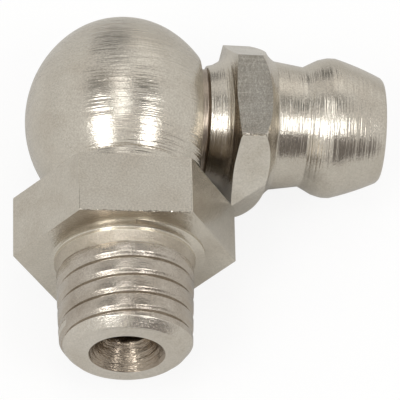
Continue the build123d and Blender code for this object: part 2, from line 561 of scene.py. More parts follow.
@dataclass(frozen=True)
class TurnedNickel(Nickel):
    """Bright nickel plate over lathe-turned steel.

    The plate is too thin to fill the tool's marks, so rings run round the axis and break up every
    highlight across them. The rings are drawn coarser and deeper than real, so that they show.
    Shade can be painted on it in brown, in the crevice beside the hexagon.
    """

    axis: Turning = Turning.SHANK
    slant: float = 0.5
    pitch: float = 0.42
    depth: float = 0.085
    mark_length: float = 12.0
    ring_shift: float = 3.0
    # Painted shade in the crevice beside the hexagon: its share, its brown, and along X and Y where it starts
    # and where it is whole.
    painted_crevice_shade: float = 0.0
    painted_crevice_shade_colour: str = "74665a"
    painted_crevice_shade_along: tuple[float, float] = (5.05, 4.85)
    painted_crevice_shade_down: tuple[float, float] = (6.1, 5.5)

    def marks(self, tree: NodeTree, place: NodeSocket) -> NodeSocket:
        """Rings round the axis, which lie across end faces too.

        Args:
            tree: the material's nodes.
            place: object coordinates.

        Returns:
            The bumped normal.
        """
        slant = -self.slant if self.axis is Turning.SHANK else self.slant
        way = self.axis.direction
        centred = add_node(tree, "Mapping", {"Vector": place, "Location": -self.axis.centre}).outputs[0]
        along = add_node(tree, "VectorMath", {0: centred, 1: way}, operation="DOT_PRODUCT").outputs["Value"]
        across = {0: centred, 1: Vector((1, 1, 1)) - way}
        side = add_node(tree, "VectorMath", across, operation="MULTIPLY").outputs[0]
        away = add_node(tree, "VectorMath", {0: side}, operation="LENGTH").outputs["Value"]
        step = add_node(tree, "Math", {0: away, 1: slant, 2: along}, operation="MULTIPLY_ADD").outputs[0]
        rate = {0: step, 1: 1 / (self.pitch * MM), 2: self.ring_shift}
        count = add_node(tree, "Math", rate, operation="MULTIPLY_ADD").outputs[0]
        reach = {0: side, "Scale": 1 / (self.mark_length * MM)}
        spread = add_node(tree, "VectorMath", reach, operation="SCALE").outputs[0]
        noise = {"Vector": spread, "W": count, "Scale": 1.0, "Detail": 4.0, "Roughness": 0.72}
        rings = add_node(tree, "TexNoise", noise, noise_dimensions="4D").outputs["Fac"]
        turned = add_node(tree, "Bump", {"Height": rings, "Distance": self.depth * MM, "Strength": 1.0})
        return turned.outputs["Normal"]

    def tint(self, tree: NodeTree, place: NodeSocket) -> NodeSocket:
        """Colour of the plate, with shade painted brown in the crevice between the hexagon and the collar.

        Args:
            tree: the material's nodes.
            place: object coordinates.

        Returns:
            The colour.
        """
        tint = super().tint(tree, place)
        if not self.painted_crevice_shade:
            return tint
        # Painted shade: brown laid over the plate in the crevice between the hexagon and the collar.
        apart = add_node(tree, "SeparateXYZ", {0: place})
        share = self.painted_crevice_shade
        for name, (start, end) in (("X", self.painted_crevice_shade_along), ("Y", self.painted_crevice_shade_down)):
            edge = {"Value": apart.outputs[name], "From Min": start * MM, "From Max": end * MM}
            step = add_node(tree, "MapRange", edge, interpolation_type="SMOOTHSTEP").outputs["Result"]
            share = add_node(tree, "Math", {0: share, 1: step}, operation="MULTIPLY").outputs[0]
        brown = {"Factor": share, "A": tint, "B": linear(self.painted_crevice_shade_colour)}
        return add_node(tree, "Mix", brown, data_type="RGBA").outputs["Result"]


@dataclass(frozen=True)
class MilledNickel(Nickel):
    """Bright nickel plate over drawn or milled flats, which look satin.

    The cutter's strokes run along the nozzle, and are drawn coarser than real where they show.
    """

    colour: str = "d0cabf"
    stain: str = "bdb4a6"
    stain_share: float = 0.5
    stain_size: float = 1.6
    roughness: float = 0.18
    grain: float = 0.16
    grain_roughness: float = 0.5
    grain_depth: float = 0.003
    stroke: float = 4.0
    stroke_width: float = 0.25
    stroke_depth: float = 0.0

    def marks(self, tree: NodeTree, place: NodeSocket) -> NodeSocket:
        """Long strokes of the cutter.

        Args:
            tree: the material's nodes.
            place: object coordinates.

        Returns:
            The bumped normal.
        """
        long, narrow = 1 / (self.stroke * MM), 1 / (self.stroke_width * MM)
        drawn = add_node(tree, "Mapping", {"Vector": place, "Scale": (long, narrow, narrow)})
        strokes = add_node(tree, "TexNoise", {"Vector": drawn.outputs[0], "Scale": 1.0, "Detail": 4.0})
        height = {"Height": strokes.outputs["Fac"], "Distance": self.stroke_depth * MM, "Strength": 1.0}
        return add_node(tree, "Bump", height).outputs["Normal"]


@dataclass(frozen=True)
class PlainSteel:
    """Bare steel, ground or drawn smooth: a cool mirror that a faint grain makes uneven.

    The grain is drawn coarser than real, so that it shows.
    """

    name: str
    colour: str
    roughness: float
    grain: float

    def make(self) -> Material:
        """Build the material.

        Returns:
            The new material.
        """
        material, tree, shader = new_material(self.name)
        place = add_node(tree, "TexCoord").outputs["Object"]
        grain = add_node(tree, "TexNoise", {"Vector": place, "Scale": 1 / (self.grain * MM), "Detail": 2.0})
        spread = {"To Min": self.roughness * 0.7, "To Max": self.roughness * 1.3}
        matte = add_node(tree, "MapRange", {"Value": grain.outputs["Fac"], **spread})
        tree.links.new(matte.outputs["Result"], shader.inputs["Roughness"])
        shader.inputs["Base Color"].default_value = linear(self.colour)
        shader.inputs["Metallic"].default_value = 1.0
        return material


# ---------------------------------------------------------------- elbow body


@dataclass
class ElbowBody:
    """Hexagon bar turned to a threaded shank and a ball, then drilled."""

    body: str = "fitting"
    node: str = "elbow_body"
    around: int = 160

    hex_flats: float = 9.0
    hex_low: float = 0.10
    hex_high: float = 3.05
    hex_edge: float = 0.06
    hex_rim: float = 0.04
    # The lower face was turned a little out of square, about a hinge just below it. Its normal is
    # still much nearer the axis than any other face's.
    hex_lean: float = -1.4
    hex_hinge: float = 0.06
    face_share: float = 0.9
    # The burr along the lower rim of the front flat: its height, its teeth, how far it runs to
    # either side and how near it comes to the rim's two edges.
    burr: float = 0.022
    burr_teeth: int = 64
    burr_seed: int = 5
    burr_reach: float = 2.5
    burr_margin: float = 0.003

    # The sealing ring stands a little below the hexagon and ends inside it. Its face slopes in to
    # the neck, which tapers from neck_r to neck_low_r.
    seat_r: float = 3.72
    seat_slope: float = 0.30
    rim_height: float = 0.30
    rim_fall: float = 0.40
    neck_r: float = 3.27
    neck_edge: float = -0.18
    neck_edge_round: float = 0.04
    neck_low: float = -0.74
    neck_low_r: float = 2.89
    neck_relief: float = 0.05

    # Taper thread, 28 to the inch. The groove is (along, down from the crests, rounding), with a
    # ledge on the flank where the die tore it. It is placed by where it crosses the front, which
    # is three quarters of a turn on from the side where the screw starts.
    pitch: float = 0.907
    crest_r: float = 3.2178
    taper: float = 1 / 16
    groove: tuple[Corner, ...] = (
        (0.00, 0.00, 0.03),
        (0.10, 0.24, 0.04),
        (0.15, 0.24, 0.03),
        (0.20, 0.10, 0.04),
        (0.28, 0.08, 0.03),
        (0.38, 0.00, 0.14),
    )
    groove_at_front: float = -0.70
    front_turn: float = 0.75
    turns_below: int = 6
    thread_turns: int = 9
    thread_top: float = 0.4
    thread_overrun: float = 0.3

    # The envelope that the thread is cut to. It has a plain core inside the neck, then the cone of
    # the thread's runout, as (up from the neck's low end, out from the neck or from the crests).
    # It clears the crests as far as the shoulder. It has fewer segments round than the thread, so
    # that no edge of one runs along an edge of the other.
    envelope_around: int = 144
    core: Corner = (0.35, 2.4)
    runout: tuple[Corner, Corner] = ((0.16, -0.10), (-0.10, 0.30))
    clear_r: float = 3.6
    clear_end: float = 0.6
    clear_step: float = 0.1
    clear_gap: float = 0.02

    # The shank's end: how far up the shoulder is and its rounding, the chamfer's lower corner and
    # the end face's edge, as (up from the end, radius, rounding). Then how far the end and its
    # chamfer were turned out of square.
    shoulder: float = 0.56
    shoulder_round: float = 0.3
    lead: Corner = (0.10, 2.73, 0.14)
    end_edge: Corner = (0.00, 2.51, 0.05)
    end_skew: float = 1.0
    chamfer_skew: float = 2.8
    chamfer_inner_r: float = 2.6

    ball_foot_r: float = 3.47
    ball_foot_top: float = 4.10
    ball_r: float = 4.60
    ball_half_height: float = 5.10
    ball_crown_r: float = 4.25
    ball_y: float = 7.42
    ball_steps: tuple[int, int] = (44, 26)

    # The outlet's steps up to the passage, as (up from the end, radius, rounding).
    outlet: tuple[Corner, ...] = (
        (-0.30, 2.11),
        (0.05, 1.71, 0.08),
        (0.40, 1.42, 0.25),
        (0.94, 1.15, 0.25),
        (1.12, 1.00, 0.25),
    )
    passage_r: float = 1.00
    cross_bore_r: float = 2.0
    cross_bore_start: float = 1.95
    cross_bore_overrun: float = 1.0
    spot_face_x: float = 3.45
    spot_face_r: float = 3.60
    spot_face_depth: float = 3.0
    spot_face_sides: int = 96

    # The ball is turned about the shank: its rings break the highlights up into level streaks.
    turned: TurnedNickel = TurnedNickel("nickel_plate_on_turned_ball")
    # The die leaves short smeared marks, so the crests shine in broken streaks.
    threaded: TurnedNickel = TurnedNickel(
        "nickel_plate_on_cut_thread",
        colour="c4bcb1",
        stain="9c9082",
        stain_share=0.6,
        roughness=0.16,
        pitch=0.24,
        depth=0.028,
        mark_length=3.0,
        grain=0.09,
        grain_depth=0.014,
    )
    # The neck is dull and speckled, and its darker, browner colour is painted shade under the hexagon.
    rough: TurnedNickel = TurnedNickel(
        "nickel_plate_on_rough_neck",
        colour="c6bdaf",
        stain="a39784",
        stain_share=0.6,
        roughness=0.30,
        pitch=0.30,
        depth=0.035,
        mark_length=4.0,
        grain=0.07,
        grain_depth=0.034,
    )
    # The shank's end is turned fine and rubbed: pale and soft.
    ended: TurnedNickel = TurnedNickel(
        "nickel_plate_on_shank_end",
        colour="d8d2c8",
        stain="b9af9f",
        stain_share=0.5,
        roughness=0.24,
        pitch=0.24,
        depth=0.030,
        mark_length=2.0,
        grain=0.10,
        grain_depth=0.016,
    )
    # The underside is faced in rings, too fine to break the light up: pale and even.
    faced: TurnedNickel = TurnedNickel(
        "nickel_plate_on_faced_underside", colour="ded8cc", roughness=0.26, slant=1.0, pitch=0.5, depth=0.020
    )
    # The drawn flats are smooth and satin.
    milled: MilledNickel = MilledNickel("nickel_plate_on_drawn_hexagon")
    # The drill leaves deep coarse rings, which break the light into bright streaks. The darker, browner
    # colour in the bores and on the spot face is painted shade.
    drilled: TurnedNickel = TurnedNickel(
        "nickel_plate_in_drilled_bore",
        colour="a89c8d",
        stain="7d6f61",
        stain_share=0.8,
        pitch=0.40,
        depth=0.150,
        mark_length=2.5,
    )

    @property
    def end(self) -> float:
        """Where the shank ends, along its axis."""
        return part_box(self.node)[0].y / MM

    def in_lower_half(self, place: Vector) -> bool:
        """Whether a place lies in the lower half of the hexagon."""
        return place.y < (self.hex_low + self.hex_high) / 2

    def build(self) -> Object:
        """Model the whole elbow and hand it to the frame.

        Returns:
            The elbow.
        """
        drilled = self.drilled.make()
        threaded = self.threaded.make()
        faced = self.faced.make()
        elbow = self._ball_and_seat(self.turned.make(), self.rough.make(), faced)
        combine(elbow, self._hexagon(self.milled.make(), faced), Joining.ADD)
        combine(elbow, self._thread(threaded), Joining.ADD)
        combine(elbow, self._passage(drilled), Joining.CUT)
        combine(elbow, self._cross_bore(drilled), Joining.CUT)
        combine(elbow, self._spot_face(drilled), Joining.CUT)
        finish_shell(elbow)
        shade(elbow)
        elbow.name = "elbow"
        elbow.data.name = "elbow"
        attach(elbow, self.body)
        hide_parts(self.node)
        return elbow

    def _ball_and_seat(self, *finishes: Material) -> Object:
        """Neck of the shank, seat ring and ball in one turning.

        Args:
            finishes: materials of the ball, the neck and the ring.

        Returns:
            The turned solid.
        """
        # The ball's side is an arc about a point beyond its axis. It runs smoothly into the rounder crown.
        crown = self.ball_half_height - self.ball_crown_r
        gain = self.ball_r - self.ball_crown_r
        offset = (crown**2 - gain**2) / (2 * gain)
        side_r = self.ball_r + offset
        foot_angle = math.degrees(math.asin((self.ball_y - self.ball_foot_top) / side_r))
        crown_angle = math.degrees(math.atan2(crown, offset))
        outline = Outline().add(
            (self.neck_low, 0),
            (self.neck_low, self.neck_low_r),
            (self.neck_edge, self.neck_r, self.neck_edge_round),
            (0, self.neck_r, self.neck_relief),
            (0, self.seat_r - self.seat_slope),
            (self.hex_low, self.seat_r),
            (self.hex_low + self.rim_height, self.seat_r),
            (self.hex_low + self.rim_fall, self.ball_foot_r),
            (self.ball_foot_top, self.ball_foot_r),
        )
        side_steps, crown_steps = self.ball_steps
        outline.arc((self.ball_y, -offset), side_r, 90 + foot_angle, 90 - crown_angle, side_steps)
        outline.corners.pop()
        outline.arc((self.ball_y + crown, 0), self.ball_crown_r, 90 - crown_angle, 0, crown_steps)
        ball = turn("ball_and_seat", outline, Turning.SHANK, self.around, *finishes)
        for face in ball.data.polygons:
            if face.center.y < self.hex_low * MM:
                face.material_index = 1 if face.center.y < self.neck_edge * MM else 2
        return ball

    def _hexagon(self, milled: Material, faced: Material) -> Object:
        """Hexagon with soft corners and a leaning lower face.

        Args:
            milled: material of its flats.
            faced: material of its lower face.

        Returns:
            The hexagon.
        """
        low = Vector((0, self.hex_low, 0))
        high = Vector((0, self.hex_high, 0))
        below = self.in_lower_half
        hexagon = cylinder("hexagon", 6, self.hex_flats / math.sqrt(3), low, high)
        with editing(hexagon):
            bpy.ops.transform.rotate(value=math.radians(30), orient_axis="Y", center_override=(0, 0, 0))
        hexagon.data.materials.append(milled)
        hexagon.data.materials.append(faced)
        with editing(hexagon, "EDGE"):
            select_edges(hexagon, lambda a, b: below(a) != below(b))
            bpy.ops.mesh.bevel(offset=self.hex_edge * MM, segments=3, affect="EDGES")
        with editing(hexagon):
            select_vertices(hexagon, below)
            lean, hinge = math.radians(self.hex_lean), (0, self.hex_hinge * MM, 0)
            bpy.ops.transform.rotate(value=lean, orient_axis="Z", center_override=hinge)
        for face in hexagon.data.polygons:
            face.material_index = int(face.normal.y < -self.face_share)
        with editing(hexagon, "EDGE"):
            select_edges(hexagon, lambda a, b: below(a) == below(b))
            bpy.ops.mesh.bevel(offset=self.hex_rim * MM, segments=3, affect="EDGES", material=0)
        self._tear_rim(hexagon)
        return hexagon

    def _tear_rim(self, hexagon: Object) -> None:
        """Roughen the lower rim of the front flat, where the tool left a burr.

        Args:
            hexagon: the hexagon's object.
        """
        below, reach = self.in_lower_half, self.burr_reach
        flat = self.hex_flats / 2
        low, high = flat - self.hex_rim + self.burr_margin, flat - self.burr_margin
        front, long = flat - 2 * self.hex_rim, self.hex_flats / 4
        with editing(hexagon, "EDGE"):
            select_edges(
                hexagon,
                lambda a, b: below(a) and below(b) and min(a.z, b.z) > front and abs(a.x - b.x) > long,
            )
            bpy.ops.mesh.subdivide(number_cuts=self.burr_teeth)
        with editing(hexagon):
            select_vertices(hexagon, lambda p: below(p) and low < p.z < high and abs(p.x) < reach)
            bpy.ops.transform.vertex_random(offset=self.burr * MM, uniform=1.0, seed=self.burr_seed)

    def _thread(self, finish: Material) -> Object:
        """Right-hand taper thread, cut to the shank's turned envelope.

        Args:
            finish: its material.

        Returns:
            The threaded shank.
        """
        start = self.groove_at_front - (self.turns_below + self.front_turn) * self.pitch
        land = (self.pitch - self.groove[-1][0]) / 2
        section = Outline(round_steps=4).add((start - land, self.crest_r))
        for along, down, rounding in self.groove:
            section.add((start + along, self.crest_r - down, rounding))
        section.add((start - land + self.pitch, self.crest_r))
        thread = draw_chain("thread", [Turning.SHANK.place(*point) for point in section.points()])
        apply_modifier(
            thread,
            "SCREW",
            axis="Y",
            angle=math.tau,
            screw_offset=self.pitch * MM,
            steps=self.around,
            render_steps=self.around,
            iterations=self.thread_turns,
            use_merge_vertices=True,
            merge_threshold=MERGE_DISTANCE,
        )
        finish_shell(thread)
        slice_off(thread, Vector((0, self.thread_top * MM, 0)), Vector((0, 1, 0)))
        slice_off(thread, Vector((0, (self.end - self.thread_overrun) * MM, 0)), Vector((0, -1, 0)))
        with editing(thread):
            bpy.ops.mesh.normals_make_consistent(inside=False)
        heights = [vertex.co.y / MM for vertex in thread.data.vertices]
        factor = self.taper / 2 * (max(heights) - min(heights)) / self.crest_r
        apply_modifier(thread, "SIMPLE_DEFORM", deform_method="TAPER", deform_axis="Y", factor=factor)
        thread.data.materials.append(finish)
        combine(thread, self._envelope(self.ended.make()), Joining.KEEP)
        return thread

    def _envelope(self, finish: Material) -> Object:
        """What the tool leaves of the thread: a plain start inside the neck and a rounded end.

        Args:
            finish: material of the end.

        Returns:
            The solid to keep.
        """
        end = self.end
        shoulder = end + self.shoulder
        crest = self.crest_r + shoulder * self.taper / 2
        inner, outer = self.runout
        outline = Outline().add(
            (self.core[0], 0),
            self.core,
            (self.neck_low + inner[0], self.neck_low_r + inner[1]),
            (self.neck_low + outer[0], self.crest_r + outer[1]),
            (shoulder + self.clear_end, self.clear_r),
            (shoulder + self.clear_end - self.clear_step, crest + self.clear_gap),
            (shoulder, crest, self.shoulder_round),
        )
        for along, *rest in (self.lead, self.end_edge):
            outline.add((end + along, *rest))
        outline.add((end, 0))
        envelope = turn("envelope", outline, Turning.SHANK, self.envelope_around, finish)
        top = shoulder + self.clear_end - self.clear_step / 2
        hinge = (0, (end + self.lead[0]) * MM, 0)
        # The whole end is turned out of square, and then its chamfer alone.
        skews = ((self.end_skew, "Z", 0.0), (-self.chamfer_skew, "X", self.chamfer_inner_r))
        with editing(envelope):
            for skew, axis, inside in skews:
                select_vertices(envelope, lambda p: p.y < top and math.hypot(p.x, p.z) >= inside)
                bpy.ops.transform.rotate(value=math.radians(skew), orient_axis=axis, center_override=hinge)
        return envelope

    def _passage(self, finish: Material) -> Object:
        """Outlet and the passage above it, drilled from the shank's end.

        Args:
            finish: its material.

        Returns:
            The tool solid.
        """
        end, nozzle_y = self.end, Turning.NOZZLE.centre.y / MM
        outline = Outline().add((end + self.outlet[0][0], 0))
        for along, *rest in self.outlet:
            outline.add((end + along, *rest))
        outline.add((nozzle_y, self.passage_r), (nozzle_y + self.passage_r / math.tan(DRILL_HALF_ANGLE), 0))
        return turn("passage", outline, Turning.SHANK, self.around // 2, finish)

    def _cross_bore(self, finish: Material) -> Object:
        """Bore through the side of the ball that takes the nozzle's spigot.

        Args:
            finish: its material.

        Returns:
            The tool solid.
        """
        outline = Outline().add(
            (-self.passage_r / math.tan(DRILL_HALF_ANGLE), 0),
            (0, self.passage_r),
            (self.cross_bore_start, self.passage_r),
            (self.cross_bore_start, self.cross_bore_r),
            (self.ball_r + self.cross_bore_overrun, self.cross_bore_r),
            (self.ball_r + self.cross_bore_overrun, 0),
        )
        return turn("cross_bore", outline, Turning.NOZZLE, self.around // 2, finish)

    def _spot_face(self, finish: Material) -> Object:
        """Flat that the nozzle's shoulder seats on.

        Args:
            finish: its material.

        Returns:
            The tool solid.
        """
        low = Turning.NOZZLE.centre / MM + Vector((self.spot_face_x, 0, 0))
        high = low + Vector((self.spot_face_depth, 0, 0))
        tool = cylinder("spot_face", self.spot_face_sides, self.spot_face_r, low, high)
        tool.data.materials.append(finish)
        return tool


# ---------------------------------------------------------------- nozzle


@dataclass
class Nozzle:
    """Turned nozzle with its collar, its coupler head and its valve chamber.

    Places are measured along the nozzle's axis, from the axis of the shank.
    """

    body: str = "fitting"
    node: str = "nozzle"
    around: int = 144

    spigot_r: float = 2.0
    spigot_start: float = 2.10
    spigot_round: float = 0.05
    shoulder_start: float = 3.45
    shoulder_r: float = 2.54
    recess: Corner = (3.78, 2.48, 0.08)
    recess_end: float = 3.80
    flange: Corner = (3.86, 2.66, 0.05)
    shoulder_end: Corner = (4.25, 2.76)
    neck_start: Corner = (7.03, 3.03, 0.4)
    neck_end: Corner = (8.42, 2.82, 0.12)
    head_flank: Corner = (9.10, 3.18, 0.3)
    head_land: tuple[Corner, Corner] = ((9.55, 3.30, 0.5), (9.92, 3.30))
    head_bulge: float = 2.93
    tip: Corner = (12.20, 2.50)
    tip_edge: float = 0.12
    tip_round: float = 0.05

    collar_root: Corner = (3.92, 2.62)
    collar_flank: tuple[Corner, ...] = (
        (4.50, 2.93, 0.5),
        (4.72, 3.20, 0.3),
        (4.85, 3.55, 0.15),
        (4.95, 4.06, 0.05),
    )
    ridge: tuple[Corner, Corner] = ((5.24, 4.40, 0.04), (5.45, 4.40, 0.04))
    collar_back: Corner = (6.14, 4.04)
    collar_fall: Corner = (6.53, 3.52)
    collar_hollow: Corner = (6.82, 3.17)
    collar_toe: Corner = (7.22, 2.93)

    # The collar leans towards the head about its middle, and its flank on the elbow's side leans more.
    collar_middle: float = 5.60
    collar_cant: float = 2.6
    cant_clock: float = 50.0
    flank_cant: float = 1.0
    flank_end: float = 5.34

    # Clocks of the flats run from straight up towards the shank. One corner is cut askew as well:
    # its clock, its distance and its tilt towards the head. The cutter left a burr where two of
    # the flats meet. An edge less than on_flat under both of them is the one that they share.
    flat_clocks: tuple[float, ...] = (-52.5, 7.5, 67.5, 187.5, 247.5)
    flat_distance: float = 3.5
    corner_cut: tuple[float, float, float] = (95.0, 5.84, 23.5)
    burred_flats: tuple[float, float] = (7.5, 67.5)
    on_flat: float = 0.01
    burr_width: float = 0.07
    burr_margin: float = 0.005
    burr_teeth: int = 20
    burr: float = 0.03
    burr_seed: int = 3

    chamber_r: float = 1.50
    lip_r: float = 1.10
    lip_thickness: float = 0.35
    mouth_r: float = 0.90
    mouth_length: float = 0.50
    mouth_chamfer: float = 0.15
    seat_half_angle: float = 30.0
    bore_round: float = 0.05
    bore_overrun: float = 0.5

    # The nozzle is turned about its own axis: its streaks stand upright. Shade is painted brown on it beside
    # the hexagon.
    turned: TurnedNickel = TurnedNickel("nickel_plate_on_turned_nozzle", axis=Turning.NOZZLE, painted_crevice_shade=0.5)
    # The milled flats are pale and satin, with long faint strokes of the cutter.
    milled: MilledNickel = MilledNickel(
        "nickel_plate_on_milled_flats", colour="ddd8ce", stain="b8ae9f", grain_depth=0.004, stroke_depth=0.012
    )
    # The valve bore is duller than the outside, and its darker, browner colour is painted shade.
    bored: TurnedNickel = TurnedNickel(
        "nickel_plate_in_valve_bore", axis=Turning.NOZZLE, colour="c6bcae", stain="8f8172", roughness=0.26
    )
    # The recess behind the shoulder is dull, and its dark brown colour, mottled by the stain cloud, is
    # painted shade.
    recessed: TurnedNickel = TurnedNickel(
        "painted_shade_steel_in_recess",
        axis=Turning.NOZZLE,
        colour="b3a698",
        stain="8c8073",
        stain_share=0.8,
        roughness=0.28,
    )

    def build(self) -> Object:
        """Model the nozzle and hand it to the frame.

        Returns:
            The nozzle.
        """
        turned = self.turned.make()
        bored = self.bored.make()
        nozzle = self._core(turned, self.recessed.make())
        combine(nozzle, self._collar(turned, self.milled.make()), Joining.ADD)
        combine(nozzle, self._inside(bored), Joining.CUT)
        finish_shell(nozzle)
        shade(nozzle)
        nozzle.name = "coupler_nozzle"
        nozzle.data.name = "coupler_nozzle"
        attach(nozzle, self.body)
        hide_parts(self.node)
        return nozzle

    def _core(self, *finishes: Material) -> Object:
        """Spigot, shoulder, neck and coupler head.

        Args:
            finishes: materials of the outside and of the recess.

        Returns:
            The turned solid.
        """
        tip, tip_r = self.tip
        outline = Outline().add(
            (self.spigot_start, 0),
            (self.spigot_start, self.spigot_r, self.spigot_round),
            (self.shoulder_start, self.spigot_r),
            (self.shoulder_start, self.shoulder_r),
            self.recess,
            self.flange,
            self.shoulder_end,
            self.neck_start,
            self.neck_end,
            self.head_flank,
            *self.head_land,
        )
        middle = (self.head_land[1][0] + tip) / 2
        outline.through((middle, self.head_bulge), (tip - self.tip_edge, tip_r))
        outline.add((tip, tip_r - self.tip_edge, self.tip_round), (tip, 0))
        core = turn("nozzle_core", outline, Turning.NOZZLE, self.around, *finishes)
        for face in core.data.polygons:
            face.material_index = int(face.center.x < self.recess_end * MM)
        return core

    def _collar(self, *finishes: Material) -> Object:
        """Leaning collar with its flats sliced off.

        Args:
            finishes: materials of the turned faces and of the flats.

        Returns:
            The collar.
        """
        outline = Outline(round_steps=4).add((self.collar_root[0], 0), self.collar_root)
        outline.add(*self.collar_flank, *self.ridge)
        outline.through(self.collar_back, self.collar_fall).through(self.collar_hollow, self.collar_toe)
        outline.add((self.collar_toe[0], 0))
        collar = turn("collar", outline, Turning.NOZZLE, self.around, *finishes)
        self._lean(collar, self.collar_cant, self.collar_middle, math.inf)
        self._lean(collar, self.flank_cant, self.ridge[0][0], self.flank_end)
        for clock in self.flat_clocks:
            self._mill_flat(collar, clock, self.flat_distance)
        self._mill_flat(collar, *self.corner_cut)
        self._burr(collar)
        return collar

    def _depths(self, place: Vector) -> list[float]:
        """How far a place lies under each burred flat.

        Args:
            place: the place, measured from the nozzle's axis.

        Returns:
            One depth for each of the two flats.
        """
        clocks = [math.radians(clock) for clock in self.burred_flats]
        outward = [place.z * math.cos(clock) - place.y * math.sin(clock) for clock in clocks]
        return [self.flat_distance - out for out in outward]

    def _burr(self, collar: Object) -> None:
        """Roughen the edge between the front flat and the one below it, where the cutter left a burr.

        Args:
            collar: the collar's object.
        """
        axis = Turning.NOZZLE.centre / MM
        with editing(collar, "EDGE"):
            select_edges(
                collar, lambda a, b: max(self._depths(a - axis) + self._depths(b - axis)) < self.on_flat
            )
            bpy.ops.mesh.bevel(offset=self.burr_width * MM, segments=2, affect="EDGES")
            bpy.ops.mesh.subdivide(number_cuts=self.burr_teeth)
        with editing(collar):
            select_vertices(
                collar,
                lambda p: self.burr_margin < min(self._depths(p - axis))
                and max(self._depths(p - axis)) < self.burr_width,
            )
            bpy.ops.transform.vertex_random(offset=self.burr * MM, uniform=1.0, seed=self.burr_seed)

    def _lean(self, collar: Object, cant: float, middle: float, limit: float) -> None:
        """Tip part of the collar towards the head.

        Args:
            collar: the collar's object.
            cant: how far it leans.
            middle: where along the nozzle it is hinged.
            limit: how far along the nozzle the leaning part reaches.
        """
        clock = math.radians(self.cant_clock)
        hinge = Turning.NOZZLE.centre + Vector((middle * MM, 0, 0))
        with editing(collar):
            select_vertices(collar, lambda place: place.x < limit)
            for axis, share in (("Y", -math.cos(clock)), ("Z", -math.sin(clock))):
                bpy.ops.transform.rotate(
                    value=math.radians(cant) * share, orient_axis=axis, center_override=hinge
                )

    def _mill_flat(self, collar: Object, clock: float, distance: float, tilt: float = 0.0) -> None:
        """Slice one flat off the collar and give it the milled finish.

        Args:
            collar: the collar's object.
            clock: direction of the flat's normal round the axis.
            distance: distance of the flat from the middle of the elbow.
            tilt: lean of the normal towards the head.
        """
        angle, lean = math.radians(clock), math.radians(tilt)
        across = Vector((0, -math.sin(angle), math.cos(angle)))
        normal = across * math.cos(lean) + Vector((1, 0, 0)) * math.sin(lean)
        slice_off(collar, Turning.NOZZLE.centre + normal * distance * MM, normal)
        for face in collar.data.polygons:
            if face.normal.dot(normal) > SAME_WAY:
                face.material_index = 1

    def _inside(self, finish: Material) -> Object:
        """Lip opening, spring chamber, valve seat and mouth.

        Args:
            finish: its material.

        Returns:
            The tool solid.
        """
        tip = self.tip[0]
        lip_end = self.spigot_start + self.lip_thickness
        throat = tip - self.mouth_length
        seat_length = (self.chamber_r - self.mouth_r) / math.tan(math.radians(self.seat_half_angle))
        outline = Outline().add(
            (self.spigot_start - self.bore_overrun, 0),
            (self.spigot_start - self.bore_overrun, self.lip_r),
            (lip_end, self.lip_r),
            (lip_end, self.chamber_r, self.bore_round),
            (throat - seat_length, self.chamber_r),
            (throat, self.mouth_r),
            (tip - self.mouth_chamfer, self.mouth_r, self.bore_round),
            (tip + 2 * self.mouth_chamfer, self.mouth_r + 3 * self.mouth_chamfer),
            (tip + 2 * self.mouth_chamfer, 0),
        )
        return turn("nozzle_inside", outline, Turning.NOZZLE, self.around // 2, finish)


# ---------------------------------------------------------------- valve


@dataclass
class Valve:
    """Check ball, whose CAD shape stays, and the spring."""

    # A polished ball is a sharp cool mirror, and drawn wire is darker and satin.
    ball: PlainSteel = PlainSteel("polished_hardened_steel_ball", "dcdcde", 0.08, 0.4)
    wire: PlainSteel = PlainSteel("drawn_spring_steel_wire", "a7a7aa", 0.30, 0.1)
    body: str = "fitting"
    node: str = "spring"
    joint: str = "valve_slide"
    travel: float = 1.0
    wire_r: float = 0.11
    wire_sides: int = 12
    turns: int = 5
    steps: int = 40

    def build(self) -> Object:
        """Give the ball its finish, model the spring and hand it to the frame.

        Returns:
            The spring.
        """
        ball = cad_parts["check_ball"]
        ball.data.materials.clear()
        ball.data.materials.append(self.ball.make())
        start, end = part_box(self.node)
        coil = self._coil(start, end)
        coil.data.materials.append(self.wire.make())
        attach(coil, self.body)
        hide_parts(self.node)
        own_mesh(coil)
        return coil

    def _coil(self, start: Vector, end: Vector) -> Object:
        """Coil of round wire with ground ends, wound one turn too long each way and cut off.

        Args:
            start: low corner of the spring's box, in metres.
            end: its high corner.

        Returns:
            The coil.
        """
        pitch = (end.x - start.x) / self.turns
        bpy.ops.mesh.primitive_circle_add(
            vertices=self.wire_sides, radius=self.wire_r * MM, rotation=(math.radians(90), 0, 0)
        )
        coil = bpy.context.object
        coil.name = "coil_spring"
        coil.data.name = "coil_spring"
        bpy.ops.object.transform_apply(location=True, rotation=True, scale=True)
        with editing(coil):
            bpy.ops.transform.translate(value=(0, 0, (end.z - start.z) / 2 - self.wire_r * MM))
        apply_modifier(
            coil,
            "SCREW",
            axis="X",
            angle=math.tau,
            screw_offset=pitch,
            steps=self.steps,
            render_steps=self.steps,
            iterations=self.turns + 2,
        )
        with editing(coil):
            bpy.ops.transform.translate(value=Turning.NOZZLE.centre + Vector((start.x - pitch, 0, 0)))
        slice_off(coil, start, Vector((-1, 0, 0)))
        slice_off(coil, end, Vector((1, 0, 0)))
        finish_shell(coil)
        shade(coil)
        return coil


# ---------------------------------------------------------------- studio


@dataclass
class Lamp:
    """One soft box, placed by how far it stands off the camera's line of sight, with its angular size."""

    name: str
    right: float
    up: float
    width: float
    height: float
    brightness: float


@dataclass
class SkyPatch:
    """A dimmer or brighter round part of the sky, placed as a lamp is, with its edge's two radii."""

    right: float
    up: float
    outer: float
    inner: float
    share: float


